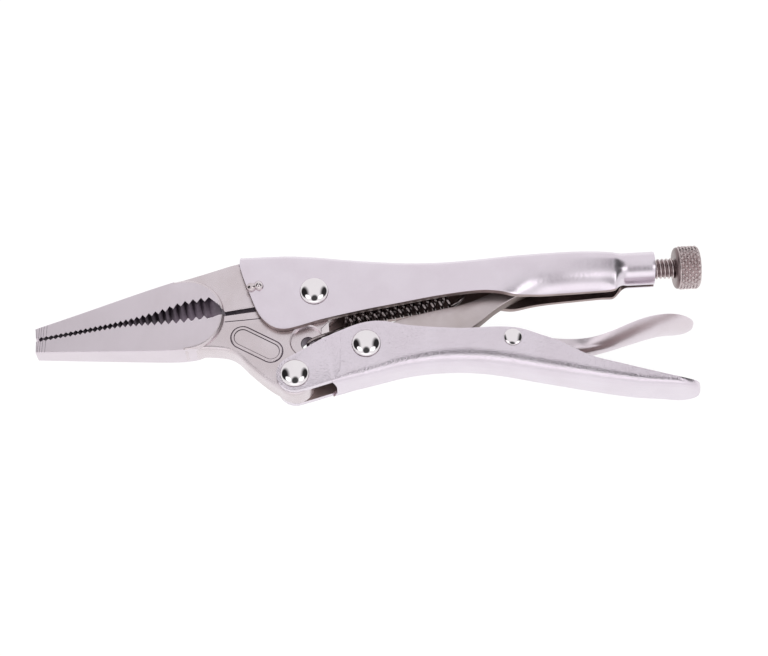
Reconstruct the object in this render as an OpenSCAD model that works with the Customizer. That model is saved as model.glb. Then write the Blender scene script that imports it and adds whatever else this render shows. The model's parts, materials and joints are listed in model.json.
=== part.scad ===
// Long-nose locking pliers with an adjusting screw, lying on one side.
// X runs along the tool from the nose to the knob, Y from the lower handle to the
// upper one, and Z along the rivets. Nothing here needs supports or printing notes.

/* [Handles] */
// Thickness of the pressed steel of both handles
sheet = 2.2; // [1.9:0.1:2.3]
// Outside bend radius along the back of each handle
bend_r = 4; // [3.6:0.1:4.4]
// Outside radius of the rolled collar that holds the screw
collar_r = 6.1; // [6:0.05:6.3]
// Half the width of the open seam under the collar
seam = 0.75; // [0.5:0.05:1]

/* [Jaws] */
// Thickness of both jaws behind the nose
jaw_t = 8.6; // [8.2:0.1:8.7]
// Half thickness of the nose at its tip
nose_tip = 3.4; // [3.2:0.1:3.6]
// Radius of the moving jaw's lobe about the main rivet
lobe_r = 9.6; // [9.2:0.1:9.8]
// Radius of the moving jaw's knuckle about the lower rivet
knuckle_r = 6.6; // [6.2:0.1:6.8]

/* [Rivets] */
// Shank radius of the three domed rivets
rivet_r = 3.2; // [3:0.05:3.4]
// Radius of a domed rivet head
head_r = 4.8; // [4.5:0.1:5]
// Height of a domed rivet head
head_h = 1.9; // [1.6:0.1:2.1]
// Shank radius of the release lever's pin
pin_r = 1.9; // [1.7:0.1:2]
// Running clearance round a shank, on the radius
fit = 0.08; // [0.05:0.01:0.1]

/* [Link and lever] */
// Thickness of the toggle link
link_t = 5; // [4.4:0.2:5]
// Thickness of the release lever's sheet
lever_t = 1.4; // [1.3:0.1:1.5]

/* [Adjusting screw] */
// Outside radius of the screw thread
thread_r = 3.5; // [3.4:0.05:3.5]
// Distance from one thread turn to the next
pitch = 1.4; // [1.2:0.1:1.5]
// Radius of the knurled knob
knob_r = 7.4; // [7:0.1:7.6]
// Length of the knob's knurled band
knob_l = 7.2; // [6.8:0.1:7.4]

/* [Spring] */
// Radius of the coil to the middle of its wire
coil_r = 2; // [1.8:0.1:2]
// Radius of the spring's wire
wire_r = 0.6; // [0.5:0.05:0.65]

/* [Hidden] */

$fn = 64;
// Shift that puts the middle of the outline at X = Y = 0 and its lowest point at Z = 0
shift = [4.5, -2.1, 9.4];

// Pivots, seen along the rivets
jaw_pivot = [-23.5, 10.6];
handle_pivot = [-29.4, -19.4];
link_pivot = [-5.9, -8.6];
lever_pivot = [42.8, -6.6];
link_end = [57, 19.2];

// Screw axis: a point on it at the collar's mouth, and its slope
screw_mouth = [92.7, 22];
screw_tilt = 3.3;
core_r = 2.4;
core_start = -28;             // where the screw's rounded tip is centred
thread_start = -26;
knob_face = 5.7;              // the knob's inner face, measured from the collar's mouth

front_half = 6.7;             // half width of the upper handle over the jaws
ear_in = 4.7;                 // inner face of the lower handle's ears
ear_out = 6.9;                // outer face of the same ears
ear_face = 6.97;              // where rivet heads bear on the lower handle
eps = 0.02;                   // parting between a head and the face under it

nickel = [0.84, 0.81, 0.85];
jaw_grey = [0.80, 0.76, 0.79];
bright = [0.90, 0.89, 0.91];
bare_steel = [0.55, 0.49, 0.48];
black = [0.13, 0.12, 0.13];

// ---- Smooth curves through a few points ----
function span_at(p, x, i = 0) =
    (i >= len(p) - 2 || x < p[i + 1].x) ? i : span_at(p, x, i + 1);
function slope_at(p, i) =
    let (a = p[max(i - 1, 0)], b = p[min(i + 1, len(p) - 1)]) (b.y - a.y) / (b.x - a.x);
// Height of the curve through the points p at x
function curve(p, x) =
    let (i = span_at(p, x), a = p[i], b = p[i + 1], h = b.x - a.x,
         t = min(max((x - a.x) / h, 0), 1),
         m = slope_at(p, i) * h, n = slope_at(p, i + 1) * h)
    a.y * (2 * t ^ 3 - 3 * t ^ 2 + 1) + m * (t ^ 3 - 2 * t ^ 2 + t)
    + b.y * (3 * t ^ 2 - 2 * t ^ 3) + n * (t ^ 3 - t ^ 2);
// Points of that curve from x0 to x1 in n steps
function trace(p, x0, x1, n) =
    [for (i = [0:n]) let (x = x0 + (x1 - x0) * i / n) [x, curve(p, x)]];
function reversed(p) = [for (i = [len(p) - 1:-1:0]) p[i]];
function ease(t) = let (u = min(max(t, 0), 1)) u * u * (3 - 2 * u);
function mix(a, b, k) = [for (i = [0:len(a) - 1]) a[i] * (1 - k) + b[i] * k];

// ---- Bent sheet: a row of sections, each a path of [z, y] points ----
// Half of a channel section, from its free edge round the bend to the crown
function channel_half(w, crown, edge, r, curl) =
    let (s = sign(crown - edge), straight = abs(crown - edge) - r)
    concat([for (t = [0:0.25:1]) [w - curl * (1 - t) ^ 2, edge + s * straight * t]],
           [for (a = [22.5:22.5:90])
               [w - r + r * cos(a), edge + s * (straight + r * sin(a))]],
           [[0, crown]]);
function mirrored(half) =
    concat(half, [for (i = [len(half) - 2:-1:0]) [-half[i].x, half[i].y]]);
// The same path moved inwards by t
function inset(path, t, s) =
    [for (i = [0:len(path) - 1])
        let (d = path[min(i + 1, len(path) - 1)] - path[max(i - 1, 0)], u = d / norm(d))
        path[i] + s * t * [-u.y, u.x]];

// Solid between matching outer and inner paths at the stations xs. The bend faces +Y
// when side is 1, and -Y when it is -1
module bent_sheet(xs, outer, inner, side) {
    n = len(outer[0]);
    m = len(xs);
    points = [for (k = [0:m - 1]) each concat(
        [for (p = outer[k]) [xs[k], p.y, p.x]],
        [for (p = inner[k]) [xs[k], p.y, p.x]])];
    skins = [for (k = [0:m - 2], i = [0:n - 2]) let (a = 2 * n * k + i, b = a + 2 * n)
        each [[a, b, b + 1, a + 1], [a + n, a + n + 1, b + n + 1, b + n]]];
    edges = [for (k = [0:m - 2]) let (a = 2 * n * k, b = a + 2 * n)
        each [[a, a + n, b + n, b], [a + n - 1, b + n - 1, b + 2 * n - 1, a + 2 * n - 1]]];
    ends = [for (i = [0:n - 2]) let (z = 2 * n * (m - 1) + i)
        each [[i, i + 1, i + n + 1, i + n], [z, z + n, z + n + 1, z + 1]]];
    quads = [for (q = concat(skins, edges, ends)) side > 0 ? reversed(q) : q];
    polyhedron(points, [for (q = quads) each [[q[0], q[1], q[2]], [q[0], q[2], q[3]]]]);
}

// ---- Upper handle: outline curves ----
upper_top = [[-49.1, 24.4], [-30, 25.1], [-10, 23.5], [8, 22.3], [24, 22.7], [46, 24.9],
             [66, 26.5], [76, 26.7], [83, 26.2]];
upper_edge = [[-48.9, 20], [-47.2, 14.7], [-45.7, 11], [-43.5, 5.4], [-41.4, 1.4],
              [-38, -1.9], [-34.5, -3.2], [-30.6, -2.8], [-21.3, 0.1], [-8, 3.4],
              [5.4, 6.1], [18.8, 8.7], [32.2, 10.4], [38.9, 10.1], [44, 9.3], [50, 9.9],
              [59.3, 10.8], [72.8, 12.1], [79, 12.9], [83, 15.6]];
upper_half = [[-49, front_half], [-35, front_half], [-12, front_half], [10, 7.2],
              [40, 8.1], [60, 8], [74, 7.2], [84, collar_r]];
upper_curl = [[-49, 0], [36, 0], [44, 0.6], [52, 2.3], [74, 2.3], [80, 1.6]];
neck = [78, 83.2];            // the channel rolls up into the collar between these
collar_end = 92;
wall_in_collar = collar_r - thread_r + 0.1;
screw_bore_start = -29;       // the bore also clears the channel's roof ahead of the collar

function screw_y(x) = screw_mouth.y + (x - screw_mouth.x) * tan(screw_tilt);
// Half of the collar's section, from the seam to the top
function collar_half(x) =
    let (start = -90 + asin(seam / collar_r))
    [for (i = [0:9]) let (a = start + (90 - start) * i / 9)
        [collar_r * cos(a), screw_y(x) + collar_r * sin(a)]];
function upper_outer(x) =
    let (top = curve(upper_top, x), edge = curve(upper_edge, x),
         flat = channel_half(curve(upper_half, x), top, edge,
                             min(bend_r, top - edge - 0.3), curve(upper_curl, x)))
    mirrored(mix(flat, collar_half(x), ease((x - neck[0]) / (neck[1] - neck[0]))));
function upper_inner(x) =
    let (k = ease((x - neck[0]) / (neck[1] - neck[0])))
    inset(upper_outer(x), sheet * (1 - k) + wall_in_collar * k, 1);
upper_stations = concat([for (i = [0:14]) -48.9 + 18 * (i / 14) ^ 1.4],
                        [for (x = [-28:4:76]) x], [for (x = [78:0.8:84]) x],
                        [88, collar_end]);

// ---- Lower handle: outline curves ----
lower_base = [[-17, -22.6], [-4.7, -19.8], [8.7, -16.5], [22, -15.2], [35.6, -15.7],
              [55.6, -19], [82, -22.9], [95.4, -23.6], [105, -24]];
lower_edge = [[-17, -5.5], [-8, -1.9], [-1.3, -0.6], [8.7, -2.1], [25.3, -3.2],
              [38.6, -2.8], [45.2, -3.4], [51.8, -5.7], [58.3, -8.2], [68, -13.3],
              [77.8, -16.1], [90.7, -19.4], [99, -21.3], [105, -21.6]];
lower_half = [[-17, ear_out], [-2, ear_out], [20, 7.3], [45, 7.7], [70, 8.2], [95, 8.2],
              [101, 7.3], [104.6, 5]];
lower_sheet = [[-17, sheet], [78, sheet], [96, 1.6], [105, 1.5]];
web_front = -17;
lower_end = 104.6;
web_bend = 3.5;

function lower_outer(x) =
    let (base = curve(lower_base, x), edge = curve(lower_edge, x))
    mirrored(channel_half(curve(lower_half, x), base, edge,
                          min(web_bend, edge - base - 0.3), 0));
function lower_inner(x) = inset(lower_outer(x), curve(lower_sheet, x), -1);
lower_stations = concat([for (x = [web_front:4:95]) x], [97, 99, 101, 102.6, 103.8, lower_end]);

// ---- Release lever: outline curves ----
lever_rim = [[27, -5], [34, -4.3], [42.8, -3.7], [52, -5.2], [60, -6], [68.6, -5.8],
             [75.4, -4.3], [81.7, -2], [88.5, 0.2], [95.2, 1.1], [104, 0.6]];
lever_depth = [[27, 2.3], [34, 5.5], [42.8, 8.3], [52, 7], [62, 4.8], [70, 3.8],
               [80, 3.8], [88, 3.6], [95, 2.4], [101, 1], [104, 0.6]];
lever_half = [[27, 4.4], [50, 4.6], [64, 4.7], [70, 5.6], [76, 7.2], [84, 8.9],
              [92, 9.4], [98, 9.2], [101.5, 7.6], [104, 4.2]];
paddle = [58, 80];            // the channel opens out into the paddle between these

function lever_outer(x) =
    let (rim = curve(lever_rim, x), deep = curve(lever_depth, x), w = curve(lever_half, x),
         trough = [for (i = [0:9]) let (u = 1 - i / 9) [w * u, rim - deep * (1 - u * u)]],
         channel = channel_half(w, rim - deep, rim, min(2.4, deep - 0.3), 0))
    mirrored(mix(channel, trough, ease((x - paddle[0]) / (paddle[1] - paddle[0]))));
function lever_inner(x) = inset(lever_outer(x), lever_t, -1);
lever_stations = concat([for (x = [27:3.5:97]) x], [99, 100.6, 102, 103.2, 104]);

// ---- Jaws: outline curves and teeth ----
fixed_top = [[-116.9, -1.9], [-102, 3.5], [-88.9, 8.4], [-75.6, 13.2], [-62, 17.7],
             [-52.3, 21.1], [-49.2, 22]];
fixed_tips = [[-116, -5.75], [-100, -2.7], [-88.3, -0.35], [-81.7, 1.2], [-75.1, 3],
              [-68.5, 5.5], [-62, 7], [-58.4, 7.3], [-56, 7]];
moving_tips = [[-116, -6.25], [-100, -3.2], [-88.3, -0.95], [-81.6, -0.2], [-68.3, 1],
               [-61.6, 1.9], [-58.3, 2.4], [-56, 2.6]];
moving_base = [[-116.2, -10.6], [-82.2, -10.7], [-68.8, -10.5], [-62.1, -9.7],
               [-58.7, -9.5], [-51.9, -10.2], [-48.5, -12], [-45, -15.5], [-38.1, -21.4],
               [-31.3, -25.5]];
tooth_step = [[-116, 1.62], [-88, 1.75], [-70, 2.6], [-56, 2.6]];
tooth_deep = [[-116, 0.55], [-90, 0.95], [-70, 1.9], [-56, 1.9]];
shoulder = [-66.8, 2];        // centre of the rounded rear of the nose
shoulder_r = 13.2;
nose_end = -70;               // from here back only that round part is thick
nose_rear = 5.5;              // half thickness of the nose at the shoulder
nose_l = 62;                  // length over which the nose grows that thick
tang_from = -72;              // the plain jaw plate starts inside the nose here
tang_top = 20.9;              // top of the tang where it lies inside the handle's bends
tang_end = -28;

function tooth_places(x, last) =
    x > last ? [] : concat([x], tooth_places(x + curve(tooth_step, x), last));
tooth_x = tooth_places(-115.4, -55.5);
// Zigzag along the tips, with roots side * depth away from them
function teeth(tips, side) =
    [for (i = [0:len(tooth_x) - 2]) let (a = tooth_x[i], b = (a + tooth_x[i + 1]) / 2)
        each [[a, curve(tips, a)], [b, curve(tips, b) + side * curve(tooth_deep, b)]]];

// Oblong raised frame on the moving jaw's cheek
badge_ends = [[-47.2, -5.4], [-37.6, -10.4]];
badge_r = 3.8;
badge_rim = 0.8;
badge_h = 0.25;
spring_eye = [-25.3, -7.1];
ear_half = 3;                 // half thickness of the jaw round the spring eye
ear_recess = [-25.6, -6.6];   // middle of the round recesses that thin it
spring_slot = 33;             // X of the spring's hole in the upper handle's back

// ---- Spring: hook, leg, coil, leg and hook, as one line ----
coil_start = [-13.5, 2.2];
coil_tilt = 12.2;
coil_pitch = 2.8;
coil_turns = 13;
ring_sides = 6;
function on_coil(turn) =
    let (s = turn * coil_pitch, a = 360 * turn + 180)
    [coil_start.x + s * cos(coil_tilt) - coil_r * cos(a) * sin(coil_tilt),
     coil_start.y + s * sin(coil_tilt) + coil_r * cos(a) * cos(coil_tilt),
     coil_r * sin(a)];
spring_line = concat(
    [[-25.3, -7.1, -3.8], [-25.3, -7.1, 3.2], [-24.6, -6.6, 3.9], [-23.4, -5.8, 3.9],
     [-20, -3.8, 3.7], [-17, -2, 2.4], [-15.2, -0.8, 1.2]],
    [for (i = [0:12 * coil_turns]) on_coil(i / 12)],
    [[25.5, 9.6, 0.9], [27.5, 12.4, 0.6], [31, 17.4, 0], [32.6, 20, 0],
     [33, 22, 0], [33, 24.4, 0]]);

// Round wire of radius r along the points p
module wire(p, r) {
    n = len(p);
    function along(i) = let (d = p[min(i + 1, n - 1)] - p[max(i - 1, 0)]) d / norm(d);
    function across(i) = let (c = cross(along(i), [0.31, -0.12, 0.94])) c / norm(c);
    points = [for (i = [0:n - 1]) let (u = across(i), v = cross(along(i), u))
        for (k = [0:ring_sides - 1]) let (a = 360 * k / ring_sides)
            p[i] + r * (cos(a) * u + sin(a) * v)];
    skin = [for (i = [0:n - 2], k = [0:ring_sides - 1])
        let (a = i * ring_sides + k, b = i * ring_sides + (k + 1) % ring_sides)
        each [[a, b + ring_sides, b], [a, a + ring_sides, b + ring_sides]]];
    polyhedron(points, concat(skin,
        [[for (k = [0:ring_sides - 1]) k]],
        [[for (k = [ring_sides - 1:-1:0]) (n - 1) * ring_sides + k]]));
}

// ---- Helpers ----
module placed() { translate(shift) children(); }
// Children are drawn along +Z, and come out along the screw from the collar's mouth
module along_screw() {
    translate([screw_mouth.x, screw_mouth.y, 0]) rotate([0, 0, screw_tilt])
        rotate([0, 90, 0]) children();
}
module bore(at, r) { translate([at.x, at.y, -15]) cylinder(r = r, h = 30); }

// Domed rivet: shank r and heads on faces at z = +face and z = -face
module domed_rivet(at, r, face, head, high) {
    rim = 0.35;
    steps = 8;
    half = concat([for (i = [0:steps]) let (a = 90 * i / steps)
                      [head * sin(a), face + rim + (high - rim) * cos(a)]],
                  [[head, face], [r, face]]);
    below = [for (i = [len(half) - 1:-1:0]) [half[i].x, -half[i].y]];
    translate([at.x, at.y, 0]) rotate_extrude() polygon(concat(half, below));
}

// Solid whose half thickness grows evenly from the nose's tip to its shoulder
module nose_wedge() {
    x0 = -118;
    x1 = -50;
    grow = (nose_rear - nose_tip) / nose_l;
    z0 = nose_tip - 1.1 * grow;
    z1 = z0 + (x1 - x0) * grow;
    rotate([90, 0, 0]) linear_extrude(70, center = true)
        polygon([[x0, -z0], [x1, -z1], [x1, z1], [x0, z0]]);
}
module nose_area() {
    translate([-130, -40]) square([130 + nose_end, 80]);
    translate(shoulder) circle(shoulder_r, $fn = 96);
}
// Thick nose and plain tang cut from one flat outline
module jaw_blank() {
    intersection() {
        linear_extrude(16, center = true) intersection() {
            children();
            nose_area();
        }
        nose_wedge();
    }
    linear_extrude(jaw_t, center = true) intersection() {
        children();
        translate([tang_from, -40]) square([80, 80]);
    }
}

module fixed_jaw_outline() {
    difference() {
        polygon(concat([[-116.2, -5.6]], teeth(fixed_tips, 1),
                       [[-55.4, 6], [-54.6, 4.6], [-53.4, 4], [-43.7, 5.8], [tang_end, 9],
                        [tang_end, tang_top], [-49.1, tang_top]],
                       reversed(trace(fixed_top, -116.9, -49.2, 20))));
        translate(jaw_pivot) circle(lobe_r + 0.7, $fn = 96);
    }
}

module moving_jaw_outline() {
    polygon(concat([[-116.1, -6.4]], teeth(moving_tips, -1),
                   [[-55.2, 2.4], [-54, 2.5], [-43.3, 4.2], [-36, 5.2], [-30, 6],
                    [-19, 3.4], [-18.6, 0.4], [-20.9, -2], [-20.9, -9.5],
                    [-22.6, -14], [-23.6, -18], [-29.4, -19.4]],
                   reversed(trace(moving_base, -116.2, -31.3, 40))));
    translate(jaw_pivot) circle(lobe_r, $fn = 96);
    translate(handle_pivot) circle(knuckle_r, $fn = 96);
}

// Outline of the oblong between the badge's two ends, with radius r
function oblong(r) =
    let (d = badge_ends[1] - badge_ends[0], turn = atan2(d.y, d.x))
    [for (k = [0, 1], i = [0:16]) let (a = turn + 90 + 180 * k + 180 * i / 16)
        badge_ends[k] + r * [cos(a), sin(a)]];
// Raised rim of the oblong, on the face at z = +side * jaw_t / 2
module badge(side) {
    translate([0, 0, side * jaw_t / 2]) linear_extrude(2 * badge_h, center = true) difference() {
        polygon(oblong(badge_r));
        polygon(oblong(badge_r - badge_rim));
    }
}

module ear_outline() {
    translate(handle_pivot) circle(6.1, $fn = 96);
    polygon([[-33.4, -14.8], [-31, -13.2], [-27.8, -11.4], [-21.2, -7.7], [-14.5, -4.6],
             [-14.5, -18.2], [web_front, -18.7], [web_front, -22.5], [-19.5, -23.5],
             [-24.6, -24.8], [-28, -25.3], [-29.4, -19.4]]);
}

// ---- Parts ----
module upper_handle() {
    color(nickel) placed() difference() {
        bent_sheet(upper_stations, [for (x = upper_stations) upper_outer(x)],
                   [for (x = upper_stations) upper_inner(x)], 1);
        bore(jaw_pivot, rivet_r + eps);
        along_screw() translate([0, 0, screw_bore_start]) cylinder(r = thread_r + fit, h = 32);
        translate([spring_slot, 30, 0]) rotate([90, 0, 0]) cylinder(r = 1.3, h = 12);
    }
}

module fixed_jaw() {
    color(jaw_grey) placed() jaw_blank() fixed_jaw_outline();
}

// A short bead on each side joins the fixed jaw's tang to the handle's front edge
module jaw_weld() {
    bead_r = 1.2;
    bead_l = 3.4;
    bead_tilt = 14;
    color(bright) placed() for (side = [-1, 1])
        translate([-44.1, 12.1, side * (front_half - 0.4)]) rotate([0, 0, bead_tilt]) {
            rotate([0, 90, 0]) cylinder(r = bead_r, h = bead_l, center = true);
            for (x = [-bead_l, bead_l]) translate([x / 2, 0, 0]) sphere(bead_r);
            translate([-bead_l / 2, 0, -side]) cylinder(r = 1, h = 2, center = true);
        }
}

module jaw_pivot_rivet() {
    color(bright) placed() domed_rivet(jaw_pivot, rivet_r, front_half + eps, head_r, head_h);
}

module moving_jaw() {
    color(jaw_grey) placed() difference() {
        union() {
            jaw_blank() moving_jaw_outline();
            for (side = [-1, 1]) badge(side);
        }
        bore(jaw_pivot, rivet_r + fit);
        bore(handle_pivot, rivet_r + fit);
        bore(spring_eye, 2.3);
        for (side = [-1, 1]) translate([ear_recess.x, ear_recess.y, side * (ear_half + 5)])
            cylinder(r = 5.6, h = 10, center = true);
    }
}

module handle_pivot_rivet() {
    color(bright) placed() domed_rivet(handle_pivot, rivet_r, ear_face, head_r, head_h);
}

module lower_handle() {
    color(nickel) placed() difference() {
        union() {
            bent_sheet(lower_stations, [for (x = lower_stations) lower_outer(x)],
                       [for (x = lower_stations) lower_inner(x)], -1);
            for (side = [-1, 1]) translate([0, 0, side * (ear_in + ear_out) / 2])
                linear_extrude(ear_out - ear_in - 2 * eps, center = true) ear_outline();
        }
        bore(handle_pivot, rivet_r + eps);
        bore(link_pivot, rivet_r + eps);
        bore(lever_pivot, pin_r + eps);
    }
}

module toggle_link() {
    top = [[-5.9, -3.4], [5.4, 1.2], [15.5, 4], [28, 7.6], [40, 13.6], [50, 19.2], [57, 22.3]];
    base = [[-5.9, -13.8], [8, -10.5], [20, -6.2], [27, -2.6], [32.3, 1.3], [38, 6.2],
            [45.3, 10.8], [57, 16.1]];
    color(jaw_grey) placed() difference() {
        linear_extrude(link_t, center = true) {
            polygon(concat(trace(base, -5.9, 57, 24), reversed(trace(top, -5.9, 57, 24))));
            translate(link_pivot) circle(5.3);
            translate(link_end) circle(3.2);
        }
        bore(link_pivot, rivet_r + fit);
    }
}

module toggle_rivet() {
    color(bright) placed() domed_rivet(link_pivot, rivet_r, ear_face, head_r, head_h);
}

module release_lever() {
    color(nickel) placed() difference() {
        bent_sheet(lever_stations, [for (x = lever_stations) lever_outer(x)],
                   [for (x = lever_stations) lever_inner(x)], -1);
        bore(lever_pivot, pin_r + fit);
    }
}

module lever_pin() {
    color(bright) placed() domed_rivet(lever_pivot, pin_r, 7.72, 3, 0.7);
}

// Plain core of the screw, with the rounded tip that the link presses on
module screw_core() {
    color(bare_steel) placed() along_screw() {
        translate([0, 0, core_start]) cylinder(r = core_r, h = knob_face - 0.5 - core_start);
        translate([0, 0, core_start]) sphere(core_r);
    }
}

module screw_thread() {
    root = thread_r - 0.65;
    end = knob_face - eps;
    turns = floor((end - thread_start) / pitch);
    crests = [for (i = [0:turns - 1]) let (z = thread_start + i * pitch)
        each [[root, z], [thread_r, z + pitch * 0.4], [thread_r, z + pitch * 0.6]]];
    color(bare_steel) placed() along_screw() rotate_extrude()
        polygon(concat([[core_r + fit, thread_start]], crests,
                       [[root, thread_start + turns * pitch], [root, end], [core_r + fit, end]]));
}

module screw_knob() {
    band = knob_face + 1.4;
    end = band + knob_l;
    ridges = 36;
    color(bare_steel) placed() along_screw() difference() {
        rotate_extrude() polygon([[0, knob_face], [5.8, knob_face], [knob_r - 0.3, band],
                                  [knob_r, band + 0.4], [knob_r, end],
                                  [knob_r - 0.7, end + 0.6], [0, end + 0.6]]);
        for (i = [0:ridges - 1]) rotate([0, 0, 360 * i / ridges])
            translate([knob_r + 0.15, 0, band - 1]) cylinder(r = 0.4, h = knob_l + 3, $fn = 16);
    }
}

module return_spring() { color(black) placed() wire(spring_line, wire_r); }

upper_handle();
fixed_jaw();
jaw_weld();
jaw_pivot_rivet();
moving_jaw();
handle_pivot_rivet();
lower_handle();
toggle_link();
toggle_rivet();
release_lever();
lever_pin();
screw_core();
screw_thread();
screw_knob();
return_spring();
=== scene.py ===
"""Long-nose locking pliers: the visible pieces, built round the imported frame."""
import json
import math

import bmesh
import bpy
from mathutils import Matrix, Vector, noise


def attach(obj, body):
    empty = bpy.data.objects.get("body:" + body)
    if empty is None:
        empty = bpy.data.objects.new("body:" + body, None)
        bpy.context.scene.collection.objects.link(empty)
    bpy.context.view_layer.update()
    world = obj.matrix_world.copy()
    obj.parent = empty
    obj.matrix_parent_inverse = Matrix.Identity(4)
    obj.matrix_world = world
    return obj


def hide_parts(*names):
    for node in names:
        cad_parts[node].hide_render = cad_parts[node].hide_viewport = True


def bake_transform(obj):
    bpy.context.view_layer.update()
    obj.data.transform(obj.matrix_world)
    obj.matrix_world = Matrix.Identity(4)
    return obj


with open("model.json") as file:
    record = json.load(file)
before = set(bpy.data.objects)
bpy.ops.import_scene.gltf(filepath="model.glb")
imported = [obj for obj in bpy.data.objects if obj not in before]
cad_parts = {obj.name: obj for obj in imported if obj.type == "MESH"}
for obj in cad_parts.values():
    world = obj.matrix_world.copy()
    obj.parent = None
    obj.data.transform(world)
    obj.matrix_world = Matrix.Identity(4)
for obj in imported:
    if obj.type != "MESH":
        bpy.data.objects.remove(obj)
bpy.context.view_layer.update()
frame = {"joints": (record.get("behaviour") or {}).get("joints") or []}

# ---- Where things are ----
# Outlines are drawn in millimetres, with Z = 0 in the middle of the tool's thickness.
# The main rivet's place in the drawing and in the frame ties the two together.
MM = 0.001
JOINTS = {joint["name"]: joint for joint in frame["joints"]}
JAW_PIVOT = (-23.5, 10.6)
HANDLE_PIVOT = (-29.4, -19.4)
LINK_PIVOT = (-5.9, -8.6)
LEVER_PIVOT = (42.8, -6.6)
LINK_END = (57.0, 19.2)
main_rivet = JOINTS["jaw_hinge"]["pos_m"]
ORIGIN = Vector((main_rivet[0] / MM - JAW_PIVOT[0],
                 main_rivet[1] / MM - JAW_PIVOT[1],
                 main_rivet[2] / MM))

SHEET = 2.2
FRONT_HALF = 6.7
EAR_IN = 4.7
EAR_OUT = 6.9
JAW_HALF = 4.3
RIVET_R = 3.2
PIN_R = 1.9
FIT = 0.08
DEEP_CUT = 20  # half the thickness of a cutter that goes right through


def row(x, y, z):
    """A point of the drawing, in the frame's metres."""
    return (Vector((x, y, z)) + ORIGIN) * MM


# ---- Camera, light and floor ----
def aim(thing, at):
    """Turns a camera to look at a point."""
    thing.rotation_euler = (at - thing.location).to_track_quat("-Z", "Y").to_euler()


CAMERA_TILT = math.radians(24)
CAMERA_DISTANCE = 600


def make_camera():
    data = bpy.data.cameras.new("camera")
    data.lens = 83.4
    data.sensor_width = 36
    camera = bpy.data.objects.new("camera", data)
    bpy.context.scene.collection.objects.link(camera)
    camera.location = row(0, -CAMERA_DISTANCE * math.sin(CAMERA_TILT),
                          CAMERA_DISTANCE * math.cos(CAMERA_TILT))
    aim(camera, row(0, 0, 0))
    data.clip_end = 20
    bpy.context.scene.camera = camera


# Patches on the white studio: direction, how narrow it is along X, its inner and outer angle,
# and its brightness. Three are dark and three are lamps. They are placed for the spots
# that they leave in the domed rivets, and they also shade the handles.
STUDIO_WHITE = 0.93
STUDIO = [((-0.68, 0.17, 0.72), 1.0, 17, 30, 0.02),
          ((0.66, 0.24, 0.72), 1.0, 16, 29, 0.03),
          ((0, -0.28, 0.96), 1.8, 16, 26, 0.06),
          ((-0.43, -0.12, 0.89), 1.0, 7, 14, 1.9),
          ((0.43, -0.12, 0.89), 1.0, 7, 14, 1.9),
          ((0, -0.78, 0.63), 0.5, 9, 20, 1.3)]


def make_world():
    world = bpy.data.worlds.new("studio")
    bpy.context.scene.world = world
    world.use_nodes = True
    tree = world.node_tree
    new, link = tree.nodes.new, tree.links.new
    coords = new("ShaderNodeTexCoord")
    light = new("ShaderNodeValue").outputs[0]
    light.default_value = STUDIO_WHITE
    for direction, narrow, inner, outer, brightness in STUDIO:
        squeeze = new("ShaderNodeVectorMath")
        squeeze.operation = "MULTIPLY"
        link(coords.outputs["Generated"], squeeze.inputs[0])
        squeeze.inputs[1].default_value = (narrow, 1, 1)
        unit = new("ShaderNodeVectorMath")
        unit.operation = "NORMALIZE"
        link(squeeze.outputs["Vector"], unit.inputs[0])
        along = new("ShaderNodeVectorMath")
        along.operation = "DOT_PRODUCT"
        link(unit.outputs["Vector"], along.inputs[0])
        along.inputs[1].default_value = Vector(direction).normalized()
        weight = new("ShaderNodeMapRange")
        weight.interpolation_type = "SMOOTHSTEP"
        weight.inputs["From Min"].default_value = math.cos(math.radians(outer))
        weight.inputs["From Max"].default_value = math.cos(math.radians(inner))
        link(along.outputs["Value"], weight.inputs["Value"])
        patch = new("ShaderNodeMix")
        link(weight.outputs["Result"], patch.inputs["Factor"])
        link(light, patch.inputs["A"])
        patch.inputs["B"].default_value = brightness
        light = patch.outputs["Result"]
    link(light, tree.nodes["Background"].inputs["Strength"])
    tree.nodes["Background"].inputs["Color"].default_value = (1, 0.985, 1, 1)


def make_floor():
    """A plain pale floor, which glows a little so that it stays pale."""
    half = 4.0
    corners = [(-half, -half, 0), (half, -half, 0), (half, half, 0), (-half, half, 0)]
    mesh = bpy.data.meshes.new("floor")
    mesh.from_pydata(corners, [], [(0, 1, 2, 3)])
    floor = bpy.data.objects.new("floor", mesh)
    bpy.context.scene.collection.objects.link(floor)
    material = bpy.data.materials.new("floor")
    material.use_nodes = True
    shader = material.node_tree.nodes["Principled BSDF"]
    shader.inputs["Base Color"].default_value = (0.14, 0.14, 0.14, 1)
    shader.inputs["Roughness"].default_value = 0.95
    shader.inputs["Specular IOR Level"].default_value = 0.0
    shader.inputs["Emission Color"].default_value = (1, 1, 1, 1)
    shader.inputs["Emission Strength"].default_value = 0.95
    mesh.materials.append(material)


make_camera()
make_world()
make_floor()
bpy.context.scene.view_settings.view_transform = "Standard"


# ---- Smooth curves through a few points ----
def slope_at(points, i):
    """Slope at point i, from its neighbours on both sides."""
    a, b = points[max(i - 1, 0)], points[min(i + 1, len(points) - 1)]
    return (b[1] - a[1]) / (b[0] - a[0])


def curve(points, x):
    """Height at x of the smooth curve through the points."""
    i = 0
    while i < len(points) - 2 and x >= points[i + 1][0]:
        i += 1
    a, b = points[i], points[i + 1]
    h = b[0] - a[0]
    t = min(max((x - a[0]) / h, 0), 1)
    m, n = slope_at(points, i) * h, slope_at(points, i + 1) * h
    return (a[1] * (2 * t**3 - 3 * t**2 + 1) + m * (t**3 - 2 * t**2 + t)
            + b[1] * (3 * t**2 - 2 * t**3) + n * (t**3 - t**2))


def trace(points, x0, x1, count):
    stations = [x0 + (x1 - x0) * i / count for i in range(count + 1)]
    return [(x, curve(points, x)) for x in stations]


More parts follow.
